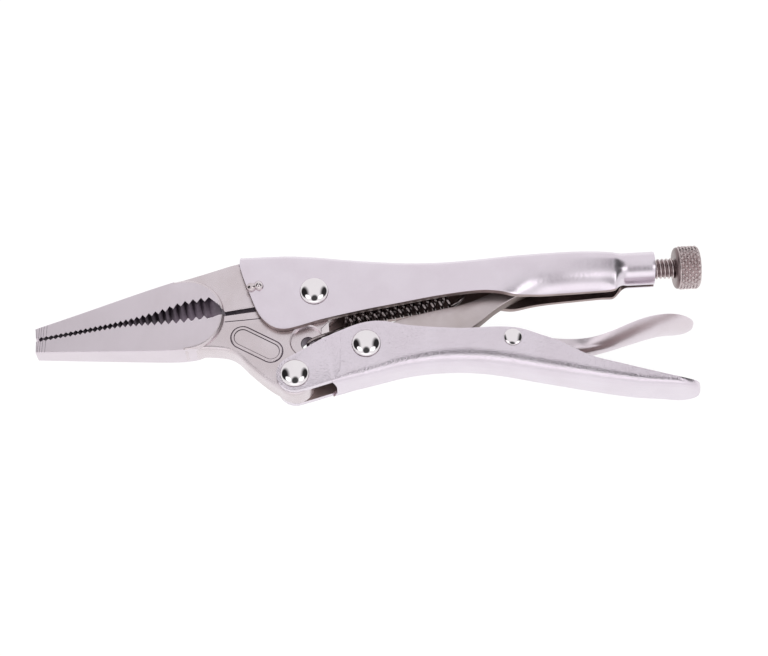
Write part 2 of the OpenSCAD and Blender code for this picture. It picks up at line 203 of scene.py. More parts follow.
def ease(t):
    """Smooth step from 0 at t = 0 to 1 at t = 1."""
    u = min(max(t, 0), 1)
    return u * u * (3 - 2 * u)


def mix(a, b, k):
    """The path a part k of the way to the path b."""
    return [tuple(p * (1 - k) + q * k for p, q in zip(u, v)) for u, v in zip(a, b)]


def steps(start, stop, size):
    """Even stations about size apart, from start and short of stop."""
    count = max(1, round((stop - start) / size))
    return [start + (stop - start) * i / count for i in range(count)]


def arc(centre, radius, start, stop, count):
    """Points on a circle from angle start to angle stop, in degrees."""
    angles = [math.radians(start + (stop - start) * i / count) for i in range(count + 1)]
    return [(centre[0] + radius * math.cos(a), centre[1] + radius * math.sin(a)) for a in angles]


# ---- Mesh tools ----
def mesh_object(name, points, faces, kinds=None):
    """An object from points of the drawing. kinds gives each face's material number."""
    mesh = bpy.data.meshes.new(name)
    mesh.from_pydata([row(*p) for p in points], [], faces)
    if kinds:
        mesh.polygons.foreach_set("material_index", kinds)
        for kind in range(3):
            mesh.materials.append(None)
    thing = bpy.data.objects.new(name, mesh)
    bpy.context.scene.collection.objects.link(thing)
    shape = bmesh.new()
    shape.from_mesh(mesh)
    bmesh.ops.remove_doubles(shape, verts=shape.verts, dist=1e-7)
    bmesh.ops.recalc_face_normals(shape, faces=shape.faces)
    shape.to_mesh(mesh)
    shape.free()
    return thing


def apply_modifiers(thing):
    graph = bpy.context.evaluated_depsgraph_get()
    mesh = bpy.data.meshes.new_from_object(thing.evaluated_get(graph))
    thing.modifiers.clear()
    old = thing.data
    thing.data = mesh
    bpy.data.meshes.remove(old)


def bevel(thing, width):
    modifier = thing.modifiers.new("edges", "BEVEL")
    modifier.width = width * MM
    modifier.segments = 3
    modifier.limit_method = "ANGLE"
    modifier.angle_limit = math.radians(40)
    apply_modifiers(thing)


def combine(thing, other, how):
    modifier = thing.modifiers.new("combine", "BOOLEAN")
    modifier.object = other
    modifier.operation = how
    modifier.solver = "EXACT"
    apply_modifiers(thing)
    bpy.data.objects.remove(other)


def smooth(thing, angle):
    """Smooth shading, except over edges sharper than the angle."""
    shape = bmesh.new()
    shape.from_mesh(thing.data)
    limit = math.radians(angle)
    for face in shape.faces:
        face.smooth = True
    for edge in shape.edges:
        edge.smooth = len(edge.link_faces) == 2 and edge.calc_face_angle(0) < limit
    shape.to_mesh(thing.data)
    shape.free()


def dress(thing, body, materials, nodes, angle=35):
    """Shading, finish, body and the CAD nodes that the piece stands for."""
    smooth(thing, angle)
    kinds = [face.material_index for face in thing.data.polygons]
    thing.data.materials.clear()
    for material in materials:
        thing.data.materials.append(material)
    if len(materials) > 1:
        thing.data.polygons.foreach_set("material_index", kinds)
    if body:
        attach(thing, body)
    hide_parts(*nodes)


def slab(name, outline, half, middle=0.0, kind=None):
    """Solid over a flat outline, as thick each way from its middle as half(x) says."""
    n = len(outline)
    points = [(x, y, middle - half(x)) for x, y in outline]
    points += [(x, y, middle + half(x)) for x, y in outline]
    faces = [tuple(range(n)), tuple(range(2 * n - 1, n - 1, -1))]
    faces += [(i, (i + 1) % n, (i + 1) % n + n, i + n) for i in range(n)]
    return mesh_object(name, points, faces, [kind] * len(faces) if kind is not None else None)


ROUNDING = 4


def moved_in(outline, widths):
    """The outline with each edge moved inwards by its own width."""
    count = len(outline)
    turn = sum(outline[i - 1][0] * outline[i][1] - outline[i][0] * outline[i - 1][1]
               for i in range(count))
    side = 1 if turn > 0 else -1
    moved = []
    for i, (x, y) in enumerate(outline):
        before, after = outline[i - 1], outline[(i + 1) % count]
        n1 = Vector((y - before[1], before[0] - x)).normalized() * side
        n2 = Vector((after[1] - y, x - after[0])).normalized() * side
        d1, d2 = widths[i - 1], widths[i]
        cross = n1.x * n2.y - n1.y * n2.x
        if abs(cross) < 0.05:
            out = (n1 + n2).normalized() * (d1 + d2) / 2
        else:
            out = Vector((d1 * n2.y - d2 * n1.y, n1.x * d2 - n2.x * d1)) / cross
        moved.append((x - out.x, y - out.y))
    return moved


def rounded_slab(name, outline, half, width_at, kind_at=lambda x, y: 0, kind=0):
    """A slab whose rims are rounded, edge by edge, by the width in mm at the edge's middle."""
    n = len(outline)
    middles = [((x + u) / 2, (y + v) / 2) for (x, y), (u, v) in zip(outline, outline[1:] + outline[:1])]
    widths = [width_at(*spot) for spot in middles]
    points, faces, kinds = [], [], []
    for k in range(ROUNDING + 1):
        t = math.pi / 2 * k / ROUNDING
        ring = moved_in(outline, [w * (1 - math.cos(t)) for w in widths])
        for i, (x, y) in enumerate(ring):
            drop = (widths[i - 1] + widths[i]) / 2 * (1 - math.sin(t))
            points += [(x, y, half(x) - drop), (x, y, drop - half(x))]
    for i in range(n):
        j = (i + 1) % n
        faces.append((2 * i, 2 * j, 2 * j + 1, 2 * i + 1))
        kinds.append(kind_at(*middles[i]) or kind)
        for k in range(ROUNDING):
            a, b = 2 * n * k, 2 * n * (k + 1)
            for side in (0, 1):
                faces.append((a + 2 * i + side, a + 2 * j + side, b + 2 * j + side, b + 2 * i + side))
                kinds.append(kind)
    last = 2 * n * ROUNDING
    for side in (0, 1):
        faces.append(tuple(last + 2 * i + side for i in range(n)))
        kinds.append(kind)
    return mesh_object(name, points, faces, kinds)


def ring_of(centre, radius, count=96):
    """A full circle as a closed outline."""
    return arc(centre, radius, 0, 360 - 360 / count, count - 1)


def drill(thing, centre, radius):
    """A plain round hole right through."""
    combine(thing, slab("drill", ring_of(centre, radius), lambda x: DEEP_CUT), "DIFFERENCE")


FLARE = 4.0  # how far a chamfering cutter goes on past the face


def mouth(radius, face, chamfer):
    """The outer end of a cutter's profile, with a chamfer at the face."""
    edge = face - chamfer
    return [(radius, edge), (radius + FLARE, edge + FLARE), (0, face + FLARE)]


def sink(thing, centre, radius, floor, face, chamfer, kind=0):
    """A round recess from both sides, down to the floor, with a chamfered mouth."""
    for side in (-1, 1):
        profile = [(0, floor), (radius, floor)] + mouth(radius, face, chamfer)
        cutter = turned("sink", [(r, side * z) for r, z in profile], (*centre, 0), kind=kind)
        combine(thing, cutter, "DIFFERENCE")


def pierce(thing, centre, radius, face, chamfer, kind=0):
    """A round hole right through, chamfered where it leaves each face."""
    half = mouth(radius, face, chamfer)
    profile = [(r, -z) for r, z in reversed(half)] + half
    combine(thing, turned("pierce", profile, (*centre, 0), kind=kind), "DIFFERENCE")


def turned(name, profile, place, axis=(0, 0, 1), segments=96, kind=0):
    """Solid of revolution of a closed profile of (radius, height) round an axis at place."""
    spin = Vector((0, 0, 1)).rotation_difference(Vector(axis)).to_matrix()
    points, faces, rings = [], [], []
    for radius, height in profile:
        count = 1 if radius < 1e-6 else segments
        first = len(points)
        for k in range(count):
            a = math.tau * k / segments
            spot = Vector((radius * math.cos(a), radius * math.sin(a), height))
            points.append(spin @ spot + Vector(place))
        rings.append([first + k % count for k in range(segments)])
    for low, high in zip(rings, rings[1:] + rings[:1]):
        for k in range(segments):
            j = (k + 1) % segments
            corners = list(dict.fromkeys((low[k], low[j], high[j], high[k])))
            if len(corners) > 2:
                faces.append(tuple(corners))
    return mesh_object(name, points, faces, [kind] * len(faces))


OUTSIDE, INSIDE, ARM = 0, 1, 2


def mark_inside(thing):
    """The faces of a channel's cheeks that look at each other get the inside colour, a painted shade."""
    for face in thing.data.polygons:
        z = face.center.z / MM - ORIGIN.z
        if face.normal.z * z < -0.5 * abs(z):
            face.material_index = INSIDE


def bent_sheet(name, stations, outer, inner):
    """Sheet between an outer and an inner path of (z, y) at each station along X.

    Its inner skin and long cut edges get the inside kind, a painted shade on the handles."""
    points, faces, kinds = [], [], []
    for x in stations:
        points += [(x, y, z) for z, y in outer(x)] + [(x, y, z) for z, y in inner(x)]
    n = len(outer(stations[0]))
    last = 2 * n * (len(stations) - 1)
    for k in range(len(stations) - 1):
        a, b = 2 * n * k, 2 * n * (k + 1)
        for i in range(n - 1):
            faces.append((a + i, b + i, b + i + 1, a + i + 1))
            faces.append((a + n + i, a + n + i + 1, b + n + i + 1, b + n + i))
            kinds += [OUTSIDE, INSIDE]
        faces.append((a, a + n, b + n, b))
        faces.append((a + n - 1, b + n - 1, b + 2 * n - 1, a + 2 * n - 1))
        kinds += [INSIDE, INSIDE]
    for i in range(n - 1):
        faces.append((i, i + 1, i + n + 1, i + n))
        faces.append((last + i, last + i + n, last + i + n + 1, last + i + 1))
        kinds += [OUTSIDE, OUTSIDE]
    return mesh_object(name, points, faces, kinds)


CHEEK_STEPS = 14
BEND_STEPS = 10
HALF_POINTS = CHEEK_STEPS + BEND_STEPS + 3


def mirrored(half):
    """A whole section from its half: the last point lies on the middle plane."""
    return half + [(-z, y) for z, y in reversed(half[:-1])]


def channel_half(w, crown, edge, r, curl=0.0, lip=0.0):
    """Half of a channel's section, from its free edge round the bend to the crown.

    The cheek leans in towards its edge by curl, and turns in once more at its lip."""
    s = 1 if crown > edge else -1
    straight = abs(crown - edge) - r
    half = []
    for i in range(CHEEK_STEPS + 1):
        t = i / CHEEK_STEPS
        half.append((w - curl * (1 - t) ** 2 - lip * (1 - t) ** 4, edge + s * straight * t))
    for i in range(1, BEND_STEPS + 1):
        a = math.pi / 2 * i / BEND_STEPS
        half.append((w - r + r * math.cos(a), edge + s * (straight + r * math.sin(a))))
    return half + [((w - r) / 2, crown), (0.0, crown)]


# ---- Materials ----
def metal(name, colour, tint, rough, grain=700, relief=0.02, fine=3000, share=0.15, streak=None):
    """Plated steel: cloudy colour, uneven gloss, and a grain that is felt in the light.

    The coarse grain is relief mm deep, and the fine one has a share of that."""
    material = bpy.data.materials.new(name)
    material.use_nodes = True
    tree = material.node_tree
    new, link = tree.nodes.new, tree.links.new
    shader = tree.nodes["Principled BSDF"]
    shader.inputs["Metallic"].default_value = 1.0
    coords = new("ShaderNodeTexCoord")
    place = new("ShaderNodeMapping")
    link(coords.outputs["Object"], place.inputs["Vector"])
    place.inputs["Scale"].default_value = streak or (1, 1, 1)

    def speckle(scale, detail, stretched=True):
        node = new("ShaderNodeTexNoise")
        node.inputs["Scale"].default_value = scale
        node.inputs["Detail"].default_value = detail
        source = place.outputs["Vector"] if stretched else coords.outputs["Object"]
        link(source, node.inputs["Vector"])
        return node.outputs["Fac"]

    def bump(height, distance, below=None):
        node = new("ShaderNodeBump")
        node.inputs["Distance"].default_value = distance * MM
        link(height, node.inputs["Height"])
        if below:
            link(below, node.inputs["Normal"])
        return node.outputs["Normal"]

    cloud = new("ShaderNodeValToRGB")
    link(speckle(90, 4, stretched=False), cloud.inputs["Fac"])
    cloud.color_ramp.elements[0].position = 0.35
    cloud.color_ramp.elements[0].color = (*tint, 1)
    cloud.color_ramp.elements[1].position = 0.62
    cloud.color_ramp.elements[1].color = (*colour, 1)
    link(cloud.outputs["Color"], shader.inputs["Base Color"])

    gloss = new("ShaderNodeMapRange")
    link(speckle(grain, 5), gloss.inputs["Value"])
    gloss.inputs["From Min"].default_value = 0.3
    gloss.inputs["From Max"].default_value = 0.7
    gloss.inputs["To Min"].default_value = rough * 0.92
    gloss.inputs["To Max"].default_value = rough * 1.1
    link(gloss.outputs["Result"], shader.inputs["Roughness"])

    normal = bump(speckle(grain, 3), relief)
    normal = bump(speckle(fine, 2), relief * share, normal)
    link(normal, shader.inputs["Normal"])
    return material


# The darker colours, chosen for insides, edges, grooves and thread roots, are painted shade, with a
# painted dark reflection on the knob's coned face; the grind marks are darker in their own right.
handle_metal = metal("handle_nickel", (0.77, 0.71, 0.775), (0.74, 0.675, 0.74), 0.23,
                     grain=1100, relief=0.017)
lower_metal = metal("lower_nickel", (0.77, 0.71, 0.775), (0.74, 0.675, 0.74), 0.2,
                    grain=1500, relief=0.08, fine=2600, share=0.9)
lever_metal = metal("lever_nickel", (0.77, 0.70, 0.75), (0.73, 0.66, 0.70), 0.34,
                    grain=1100, relief=0.014)
# Painted shade: the dark colour of the channels' insides and cut edges stands for the shade that falls in
# them.
inner_shade_metal = metal("inner_painted_shade", (0.44, 0.35, 0.34), (0.33, 0.26, 0.25), 0.42, grain=500, relief=0.05)
jaw_metal = metal("jaw_nickel", (0.73, 0.665, 0.715), (0.70, 0.635, 0.68), 0.3, grain=500, relief=0.005,
                  streak=(3.0, 0.5, 1.0))
# Painted shade in the tooth gaps, the jaws' gap, the spring eye and the scribed grooves; the grind marks
# are darker in their own right.
shade_and_mark_metal = metal("painted_shade_and_marks", (0.15, 0.11, 0.15), (0.09, 0.065, 0.09), 0.4, grain=900, relief=0.03)
arm_metal = metal("arm_nickel", (0.71, 0.645, 0.675), (0.66, 0.59, 0.61), 0.27, grain=350, relief=0.005)
link_metal = metal("link_nickel", (0.66, 0.59, 0.60), (0.60, 0.53, 0.53), 0.36, grain=900, relief=0.014)
# Painted shade on the link's side walls, and as a dark ring under each rivet dome.
edge_shade_metal = metal("painted_shade_edge", (0.27, 0.21, 0.20), (0.19, 0.15, 0.14), 0.45, grain=900, relief=0.04,
                   streak=(1.0, 1.0, 4.0))
rivet_metal = metal("rivet_polish", (0.86, 0.83, 0.84), (0.84, 0.80, 0.82), 0.05, grain=400, relief=0.003)
weld_metal = metal("weld_nickel", (0.80, 0.75, 0.77), (0.62, 0.55, 0.56), 0.15, grain=900, relief=0.03)
screw_metal = metal("screw_steel", (0.66, 0.58, 0.58), (0.54, 0.46, 0.46), 0.24,
                    grain=1500, relief=0.015)
# Painted shade in the thread roots, and a painted dark reflection on the knob's coned face.
screw_shade_metal = metal("screw_painted_shade", (0.29, 0.22, 0.22), (0.21, 0.16, 0.16), 0.32,
                   grain=1500, relief=0.015)
wire_metal = metal("spring_steel", (0.32, 0.28, 0.28), (0.22, 0.19, 0.19), 0.13, grain=1200, relief=0.01)

# ---- Upper handle ----
UPPER_TOP = [(-49.1, 24.4), (-30, 25.1), (-10, 23.5), (8, 22.3), (24, 22.7), (46, 24.9), (66, 26.5),
             (76, 26.7), (83, 26.2)]
UPPER_EDGE = [(-48.9, 20), (-47.2, 14.7), (-45.7, 11), (-43.5, 5.4), (-41.4, 1.4), (-38, -1.9),
              (-34.5, -3.2), (-30.6, -2.8), (-21.3, 0.1), (-8, 3.4), (5.4, 6.1), (18.8, 8.7),
              (32.2, 10.4), (38.9, 10.1), (44, 9.3), (50, 9.9), (59.3, 10.8), (72.8, 12.1),
              (79, 12.9), (83, 15.6)]
UPPER_HALF = [(-49, FRONT_HALF), (-35, FRONT_HALF), (-12, FRONT_HALF), (10, 7.2), (40, 8.1), (60, 8),
              (74, 7.2), (84, 6.1)]
UPPER_CURL = [(-49, 0), (36, 0), (44, 0.5), (52, 1.6), (74, 1.6), (80, 1.2)]
UPPER_LIP = [(-49, 0), (39, 0), (48, 1.0), (56, 2.0), (74, 1.9), (80, 0.8)]
UPPER_BEND = 4.0
NECK = (78.0, 83.2)
COLLAR_R = 6.1
COLLAR_END = 92.0
COLLAR_WALL = 2.5
SEAM = 0.75
SCREW_MOUTH = (92.7, 22.0)
SCREW_TILT = math.radians(3.3)
THREAD_R = 3.5
SPRING_SLOT = 33.0
SPRING_HOLE_R = 1.3


def screw_y(x):
    """Height of the screw's axis at x."""
    return SCREW_MOUTH[1] + (x - SCREW_MOUTH[0]) * math.tan(SCREW_TILT)


def along_screw(distance):
    """The point of the screw's axis at a distance past the collar's mouth."""
    return (SCREW_MOUTH[0] + distance * math.cos(SCREW_TILT),
            SCREW_MOUTH[1] + distance * math.sin(SCREW_TILT), 0)


SCREW_AXIS = (math.cos(SCREW_TILT), math.sin(SCREW_TILT), 0)


def collar_half(x, radius):
    """Half of the rolled collar's section, from its seam to its top."""
    start = -math.pi / 2 + math.asin(SEAM / radius)
    half = []
    for i in range(HALF_POINTS):
        a = start + (math.pi / 2 - start) * i / (HALF_POINTS - 1)
        half.append((radius * math.cos(a), screw_y(x) + radius * math.sin(a)))
    half[-1] = (0.0, half[-1][1])
    return half


def upper_section(x, inside):
    top, edge, half = curve(UPPER_TOP, x), curve(UPPER_EDGE, x), curve(UPPER_HALF, x)
    t = SHEET if inside else 0
    bend = min(UPPER_BEND, top - edge - 0.3) - t
    lean = 0.8 if inside else 1
    curl, lip = lean * curve(UPPER_CURL, x), lean * curve(UPPER_LIP, x)
    flat = channel_half(half - t, top - t, edge, bend, curl, lip)
    k = ease((x - NECK[0]) / (NECK[1] - NECK[0]))
    return mirrored(mix(flat, collar_half(x, COLLAR_R - (COLLAR_WALL if inside else 0)), k))


def upper_handle():
    stations = steps(-48.9, -30, 0.5) + steps(-30, 76, 1.5) + steps(76, 84.4, 0.35)
    stations += steps(84.4, COLLAR_END, 1.2)
    stations.append(COLLAR_END)
    thing = bent_sheet("upper_handle_shell", stations, lambda x: upper_section(x, False),
                       lambda x: upper_section(x, True))
    bevel(thing, 0.45)
    bore = turned("bore", [(0, -29), (THREAD_R + FIT, -29), (THREAD_R + FIT, 3), (0, 3)],
                  along_screw(0), SCREW_AXIS)
    combine(thing, bore, "DIFFERENCE")
    profile = [(0, 18), (SPRING_HOLE_R, 18), (SPRING_HOLE_R, 30), (0, 30)]
    hole = turned("hole", profile, (SPRING_SLOT, 0, 0), (0, 1, 0), 32)
    combine(thing, hole, "DIFFERENCE")
    drill(thing, JAW_PIVOT, RIVET_R)
    dress(thing, "frame", [handle_metal, inner_shade_metal], ["upper_handle"])


# ---- Lower handle ----
LOWER_BASE = [(-17, -22.6), (-4.7, -19.8), (8.7, -16.5), (22, -15.2), (35.6, -15.7), (55.6, -19),
              (82, -22.9), (95.4, -23.6), (105, -24)]
LOWER_EDGE = [(-17, -5), (-8, -1.3), (-1.3, -0.4), (8.7, -2.1), (25.3, -3.2), (38.6, -2.8),
              (45.2, -3.4), (51.8, -5.7), (58.3, -8.2), (68, -13.3), (77.8, -16.1), (90.7, -19.4),
              (99, -21.3), (105, -21.6)]
LOWER_HALF = [(-17, EAR_OUT), (-2, EAR_OUT), (20, 7.3), (45, 7.7), (70, 8.2), (95, 8.2),
              (98, 8.1), (101, 7.2), (103, 5.9), (104.1, 4.4), (104.6, 3)]
LOWER_SHEET = [(-17, SHEET), (78, SHEET), (96, 1.6), (105, 1.5)]
LOWER_BEND = [(-17, 1.6), (-14, 2.2), (-9, 3), (8, 4.2), (25, 5.2), (50, 5), (75, 4), (95, 2.9),
              (105, 2.5)]
WEB_FRONT = -17.0
WEB_BOW = 1.5
LOWER_END = 104.6
EAR_R = 6.1
EAR_TOP = [(-33.4, -14.8), (-31, -13.2), (-27.8, -11.4), (-21.2, -7.2), (-14.5, -3.9)]
EAR_FOOT = [(-24.3, -24.2), (-21.5, -23.3), (-19, -22.45), (-17.2, -21.9), (-16.2, -21), (-14.5, -18.2)]


def lower_section(x, inside):
    base, edge, half = curve(LOWER_BASE, x), curve(LOWER_EDGE, x), curve(LOWER_HALF, x)
    t = curve(LOWER_SHEET, x) if inside else 0
    bend = max(min(curve(LOWER_BEND, x), edge - base - 0.3) - t, 0.25)
    return mirrored(channel_half(half - t, base + t, edge, bend))


def bow_web(thing):
    """The web's sheared front edge is bowed back between the cheeks."""
    for vertex in thing.data.vertices:
        x, y, z = vertex.co / MM - ORIGIN
        fade = ease((-9 - x) / 8)
        if y < -16:
            vertex.co.x += WEB_BOW * MM * fade * max(0, 1 - (z / 6.2) ** 4)


def lower_handle():
    stations = steps(WEB_FRONT, -9, 0.6) + steps(-9, 92, 1.5) + steps(92, 102, 0.8)
    stations += steps(102, LOWER_END, 0.3)
    stations.append(LOWER_END)
    thing = bent_sheet("lower_handle_shell", stations, lambda x: lower_section(x, False),
                       lambda x: lower_section(x, True))
    bow_web(thing)
    outline = arc(HANDLE_PIVOT, EAR_R, 131, 283, 32) + EAR_FOOT + [(-14.5, -3.9)]
    outline += list(reversed(trace(EAR_TOP, -33.2, -14.8, 24)))
    for side in (-1, 1):
        ear = slab("ear", outline, lambda x: (EAR_OUT - EAR_IN) / 2, side * (EAR_IN + EAR_OUT) / 2)
        combine(thing, ear, "UNION")
    bevel(thing, 0.4)
    mark_inside(thing)
    drill(thing, HANDLE_PIVOT, RIVET_R)
    drill(thing, LINK_PIVOT, RIVET_R)
    drill(thing, LEVER_PIVOT, PIN_R)
    dress(thing, "handle", [lower_metal, inner_shade_metal], ["lower_handle"])


# ---- Release lever ----
LEVER_RIM = [(27, -5), (34, -4.3), (42.8, -3.7), (52, -5.2), (60, -6), (68.6, -5.8), (75.4, -4.3),
             (81.7, -2), (88.5, 0.2), (95.2, 1.1), (104, 0.6)]
LEVER_DEPTH = [(27, 2.3), (34, 5.5), (42.8, 8.3), (52, 7), (62, 4.8), (70, 3.8), (80, 3.8), (88, 3.6),
               (95, 2.4), (101, 1), (104, 0.6)]
LEVER_HALF = [(27, 4.4), (50, 4.6), (64, 4.7), (70, 5.6), (76, 7.2), (84, 8.9), (92, 9.4), (97, 9.1),
              (100, 8.1), (102, 6.6), (103.3, 4.8), (104, 2.8)]
LEVER_T = 1.4
PADDLE = (58.0, 80.0)


def trough_half(w, rim, deep, t):
    """Half of a round trough, set inwards by the thickness t square to its surface."""
    half = []
    for i in range(HALF_POINTS):
        u = 1 - i / (HALF_POINTS - 1)
        m = 2 * deep * u / w
        reach = t / math.sqrt(1 + m * m)
        half.append((max(w * u - m * reach, 0), min(rim - deep * (1 - u * u) + reach, rim)))
    return half


def lever_section(x, inside):
    rim, deep, w = curve(LEVER_RIM, x), curve(LEVER_DEPTH, x), curve(LEVER_HALF, x)
    t = LEVER_T if inside else 0
    base = rim - deep + t
    bend = max(min(2.4, deep - 0.3) - t, 0.25)
    if base + bend > rim - 0.05:
        bend = 0.1
        base = min(base, rim - 0.2)
    channel = channel_half(w - t, base, rim, bend)
    trough = trough_half(w, rim, deep, t)
    return mirrored(mix(channel, trough, ease((x - PADDLE[0]) / (PADDLE[1] - PADDLE[0]))))


def release_lever():
    stations = steps(27, 97, 1.4) + steps(97, 102, 0.6) + steps(102, 104, 0.2) + [104]
    thing = bent_sheet("release_lever_shell", stations, lambda x: lever_section(x, False),
                       lambda x: lever_section(x, True))
    bevel(thing, 0.35)
    drill(thing, LEVER_PIVOT, PIN_R + FIT)
    dress(thing, "lever", [lever_metal, lever_metal], ["release_lever"])


# ---- Jaws ----
FIXED_TOP = [(-116.9, -1.9), (-102, 3.5), (-88.9, 8.4), (-75.6, 13.2), (-62, 17.7),
             (-52.3, 21.1), (-49.2, 22)]
FIXED_TIPS = [(-116, -5.75), (-100, -2.7), (-88.3, -0.35), (-81.7, 1.2), (-75.1, 3), (-68.5, 5.5),
              (-62, 7), (-58.4, 7.3), (-56, 7)]
MOVING_TIPS = [(-116, -6.25), (-100, -3.2), (-88.3, -0.95), (-81.6, -0.2), (-68.3, 1), (-61.6, 1.9),
               (-58.3, 2.4), (-56, 2.6)]
MOVING_BASE = [(-116.2, -10.6), (-82.2, -10.7), (-68.8, -10.5), (-62.1, -9.7), (-58.7, -9.5),
               (-51.9, -10.2), (-48.5, -12), (-45, -15.5), (-38.1, -21.4), (-31.3, -25.5)]
TEETH_FROM = -115.4
TEETH_TO = -58.0
TOOTH_REACH = 2.2  # how far past the tips a wall still counts as a tooth's flank
TOOTH_STEP = [(-116, 1.62), (-88, 1.75), (-70, 2.6), (-56, 2.6)]
TOOTH_DEEP = [(-116, 0.55), (-90, 0.95), (-70, 1.6), (-56, 1.5)]
SHOULDER = (-66.6, 2.5)
SHOULDER_R = 13.0
NOSE_TIP = 3.4
NOSE_GROWTH = 0.0395
TANG_FROM = -74.0
TANG_TOP = 20.9
TANG_END = -28.0
LOBE_R = 9.6
KNUCKLE_R = 6.59
DRAFT = 1.3
ROOT_DRAFT = 0.7
SPRING_EYE = (-25.3, -7.1)
SPRING_EYE_R = 2.3
EAR_RECESS = (-25.6, -6.6)
EAR_RECESS_R = 5.5
EAR_HALF = 3.0
BADGE_ENDS = [(-47.2, -5.4), (-37.6, -10.4)]
BADGE_GROOVE_R = 4.15
BADGE_RIM_R = 3.85
BADGE_FIELD_R = 2.95
BADGE_FLOOR_R = 2.7
BADGE_H = 0.24
SCRIBE_HALF = 0.5
SCRIBE_OUT = 0.3  # how far the middle of a scribing cutter stands out of the face
ARM_LINE = [(-53.4, 0.15), (-47, 0.8), (-40.7, 1.5), (-40.8, 1.8), (-47, 1.1), (-53.4, 0.45)]


def nose_half(x):
    """The nose is a wedge: half its thickness at x."""
    return NOSE_TIP + NOSE_GROWTH * (x + 116.9)


def teeth(tips, side):
    """Zigzag along the tips, with the roots to the given side of them."""
    places = [TEETH_FROM]
    while places[-1] < TEETH_TO:
        places.append(places[-1] + curve(TOOTH_STEP, places[-1]))
    line = []
    for a, c in zip(places, places[1:]):
        b = (a + c) / 2
        line += [(a, curve(tips, a)), (b, curve(tips, b) + side * curve(TOOTH_DEEP, b))]
    return line


def in_teeth(x, y):
    """Between the jaws' toothed edges, or on a tooth's flank."""
    low, high = curve(MOVING_TIPS, x) - TOOTH_REACH, curve(FIXED_TIPS, x) + TOOTH_REACH
    return -115.5 < x < -55.8 and low < y < high


def in_gap(x, y):
    """The narrow gap between the fixed jaw's tang and the moving jaw's arm."""
    return x > -55.6 and 2 < y < 9.2


def dark_wall(x, y):
    """Walls between the teeth and in the gap get a painted shade."""
    return INSIDE if in_teeth(x, y) or in_gap(x, y) else 0


def nose_rim(x, y):
    return 0.1 if in_teeth(x, y) else 0.3


def arm_rim(x, y):
    """The arm's lower edge is well rounded, and the rest only eased."""
    if in_teeth(x, y):
        return 0.05
    return 0.3 + 0.9 * ease((x + 66) / 6) if y < -8 and x < -31.5 else 0.3


def shoulder_rim(x, y):
    """Only the round shoulder's own edge is rounded off."""
    off = math.hypot(x - SHOULDER[0], y - SHOULDER[1]) - SHOULDER_R
    return 1.1 if abs(off) < 0.1 else 0.001


def jaw_blank(name, outline):
    """The outline as a thick nose with a round rear shoulder, and as the plain tang behind."""
    nose = rounded_slab(name, outline, nose_half, nose_rim, dark_wall)
    area = [(-130, -40), (SHOULDER[0], -40)]
    area += arc(SHOULDER, SHOULDER_R, -90, 109.8, 80) + [(-71, 40), (-130, 40)]
    keep = rounded_slab("area", area, lambda x: nose_half(x) + 0.004, shoulder_rim, kind=ARM)
    combine(nose, keep, "INTERSECT")
    tang = rounded_slab("tang", outline, lambda x: JAW_HALF, arm_rim, dark_wall, kind=ARM)
    behind = [(TANG_FROM, -40), (20, -40), (20, 40), (TANG_FROM, 40)]
    combine(tang, slab("behind", behind, lambda x: DEEP_CUT, kind=ARM), "INTERSECT")
    combine(nose, tang, "UNION")
    return nose


def draft_teeth(thing):
    """The deep rear teeth get shallower and hang lower towards the far side.

    This closes the view of the floor between the jaws from the near side."""
    for vertex in thing.data.vertices:
        x, y, z = vertex.co / MM - ORIGIN
        tip = curve(FIXED_TIPS, x)
        if -88 < x < -55.9 and y < tip + 2.1:
            share = ease((x + 86) / 14) * (0.5 - z / (2 * nose_half(x)))
            vertex.co.y -= (DRAFT + ROOT_DRAFT * max(y - tip, 0)) * MM * share


def fixed_jaw():
    outline = [(-116.4, -5.6)] + teeth(FIXED_TIPS, 1)
    outline += [(-55.4, 6), (-54.6, 4.6), (-53.4, 4), (-43.7, 5.8)]
    outline += [(TANG_END, 9), (TANG_END, TANG_TOP), (-49.1, TANG_TOP)]
    outline += list(reversed(trace(FIXED_TOP, -116.85, -49.2, 50)))
    thing = jaw_blank("fixed_jaw_forging", outline)
    draft_teeth(thing)
    grind_marks(thing)
    drill(thing, JAW_PIVOT, LOBE_R + 0.7)
    dress(thing, "frame", [jaw_metal, shade_and_mark_metal, arm_metal], ["fixed_jaw"], angle=10)


def grind_marks(thing):
    """Shallow lines across both faces of the nose, close to its tip."""
    for x in (-115.6, -114.9, -114.1, -113.1):
        for side in (-1, 1):
            line = [(x - 0.05, -16), (x + 0.05, -16), (x + 0.35, 6), (x + 0.25, 6)]
            mark = slab("mark", line, lambda x: 0.5, side * (nose_half(x) + 0.46), kind=INSIDE)
            combine(thing, mark, "DIFFERENCE")


def oblong(radius):
    """A straight slot's outline round the badge's two end points."""
    (x0, y0), (x1, y1) = BADGE_ENDS
    turn = math.degrees(math.atan2(y1 - y0, x1 - x0))
    return (arc(BADGE_ENDS[0], radius, turn + 90, turn + 270, 24)
            + arc(BADGE_ENDS[1], radius, turn - 90, turn + 90, 24))


def scribe(thing, name, outline):
    """A shallow cut of an outline into both faces of the jaw, its walls in a painted shade."""
    for side in (-1, 1):
        middle = side * (JAW_HALF + SCRIBE_OUT)
        cutter = slab(name, outline, lambda x: SCRIBE_HALF, middle, kind=INSIDE)
        combine(thing, cutter, "DIFFERENCE")


def badge(thing):
    """A raised oblong frame in a groove on each face, and a line scribed above it."""
    scribe(thing, "groove", oblong(BADGE_GROOVE_R))
    scribe(thing, "line", ARM_LINE)
    raised = rounded_slab("oblong", oblong(BADGE_RIM_R), lambda x: JAW_HALF + BADGE_H,
                          lambda x, y: 0.3, kind=ARM)
    combine(thing, raised, "UNION")
    scribe(thing, "field", oblong(BADGE_FIELD_R))
    for side in (-1, 1):
        floor = slab("floor", oblong(BADGE_FLOOR_R), lambda x: BADGE_H, side * (JAW_HALF - 0.22),
                     kind=ARM)
        combine(thing, floor, "UNION")


